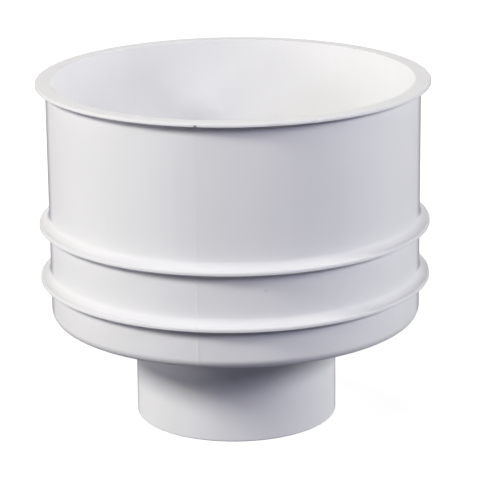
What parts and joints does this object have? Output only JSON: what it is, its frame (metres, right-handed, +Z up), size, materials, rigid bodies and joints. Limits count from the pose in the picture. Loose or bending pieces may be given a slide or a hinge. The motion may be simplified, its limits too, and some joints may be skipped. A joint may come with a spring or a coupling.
{
  "type": "flat roof drain",
  "caption": "White moulded roof drain body: a round sump with a flat rim flange, plate rings round its wall and a plain outlet spigot that pushes into a rainwater pipe socket.",
  "frame": {"origin": "centre of the spigot's foot, where the drain stands", "axes": "+Z up along the drain's axis, from the outlet towards the mouth of the sump"},
  "size_m": [0.2124, 0.2122, 0.188],
  "materials": {
    "white_plastic": "satin moulded polypropylene"
  },
  "bodies": {
    "root": {"drain_body": "white_plastic"}
  },
  "joints": []
}
